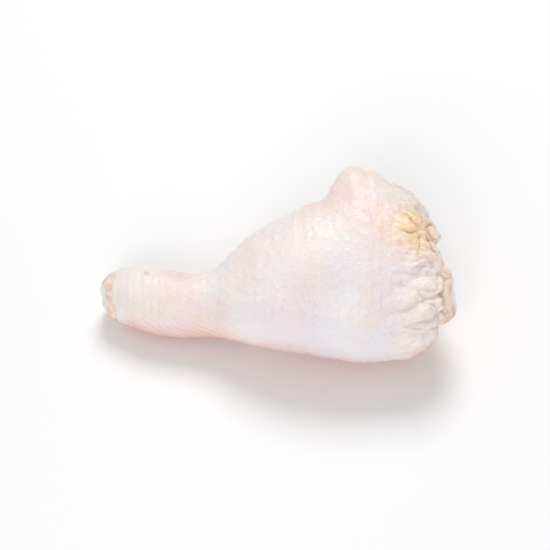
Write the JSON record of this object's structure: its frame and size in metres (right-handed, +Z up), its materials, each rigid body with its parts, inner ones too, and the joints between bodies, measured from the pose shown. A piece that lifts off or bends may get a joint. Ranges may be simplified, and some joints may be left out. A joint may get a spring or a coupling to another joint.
{
  "type": "raw chicken drumstick",
  "caption": "Raw chicken drumstick with its skin on, lying on its side, with the hock's knuckle bare and the cut meat and joint showing at the knee.",
  "frame": {"origin": "centre of the bounding box on the floor that the leg lies on", "axes": "+X along the leg from the hock's knuckle to the knee, +Y from shin to calf, +Z up"},
  "size_m": [0.1292, 0.0684, 0.0536],
  "materials": {
    "skin": "raw, moist, pale cream to faint lavender pink",
    "meat": "raw, moist, pinkish red",
    "bone": "moist cartilage, bluish white to cream"
  },
  "bodies": {
    "root": {"skin": "skin", "meat": "meat", "bone": "bone"}
  },
  "joints": []
}
